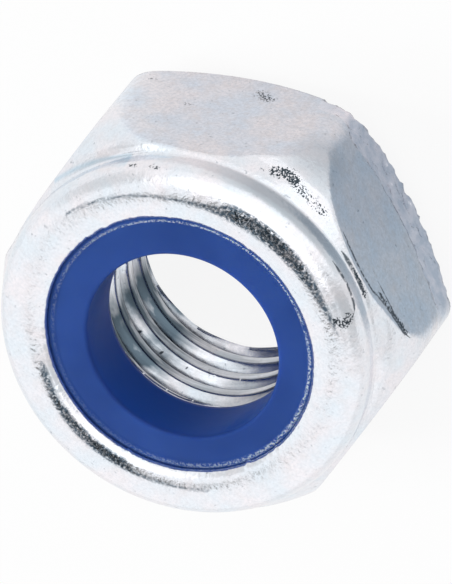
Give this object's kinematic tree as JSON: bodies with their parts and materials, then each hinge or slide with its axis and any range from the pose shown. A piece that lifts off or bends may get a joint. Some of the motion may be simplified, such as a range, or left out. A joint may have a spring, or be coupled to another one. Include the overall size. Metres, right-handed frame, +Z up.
{
  "type": "self-locking hexagon nut",
  "caption": "Hexagon nut with an internal thread and a nylon ring held under a rolled collar, which stops it working loose.",
  "frame": {"origin": "centre of the bearing face, which the nut rests on", "axes": "+Z up the thread's axis, from the bearing face to the rolled collar; +X to the middle of a flat of the hexagon"},
  "size_m": [0.019, 0.0214, 0.0111],
  "materials": {
    "zinc_plated_steel": "bright zinc plating over a cold-formed surface",
    "blue_nylon": "moulded, smooth"
  },
  "bodies": {
    "root": {"steel_body": "zinc_plated_steel", "nylon_ring": "blue_nylon"}
  },
  "joints": []
}
